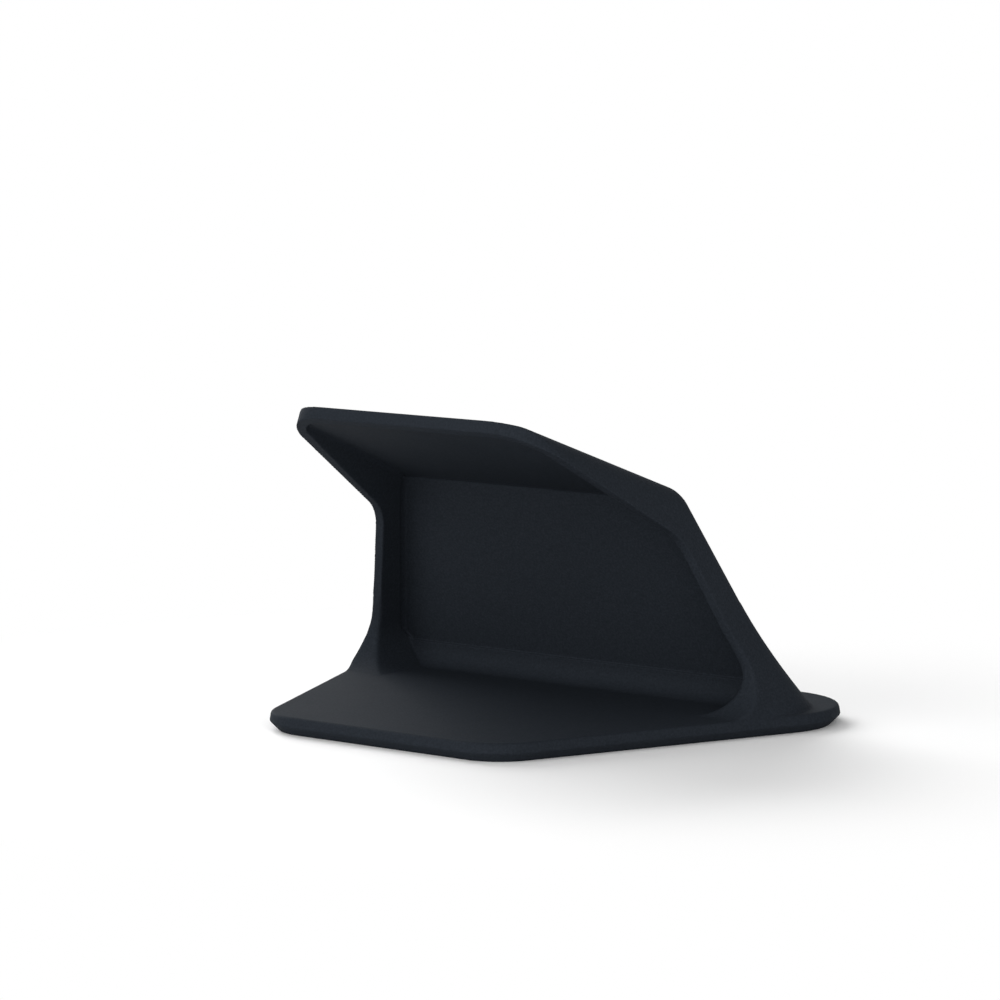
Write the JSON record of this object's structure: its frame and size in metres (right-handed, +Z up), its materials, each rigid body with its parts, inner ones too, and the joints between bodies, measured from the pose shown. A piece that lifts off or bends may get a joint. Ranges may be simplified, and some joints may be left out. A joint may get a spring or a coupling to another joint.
{
  "type": "game controller stand",
  "caption": "One-piece desk stand with a flaring flat base, a wall that leans back and a sloping top plate that carries a game controller, with flanged sides and a hollow open to the rear.",
  "frame": {"origin": "middle of the base's underside, under the middle of the overall box", "axes": "+X across the stand, -Y towards the wall's front, +Y towards the open side of the hollow, +Z up"},
  "size_m": [0.111, 0.086, 0.0627],
  "materials": {
    "charcoal_plastic": "fine matt moulded texture, charcoal with a little blue"
  },
  "bodies": {
    "root": {"stand_body": "charcoal_plastic"}
  },
  "joints": []
}
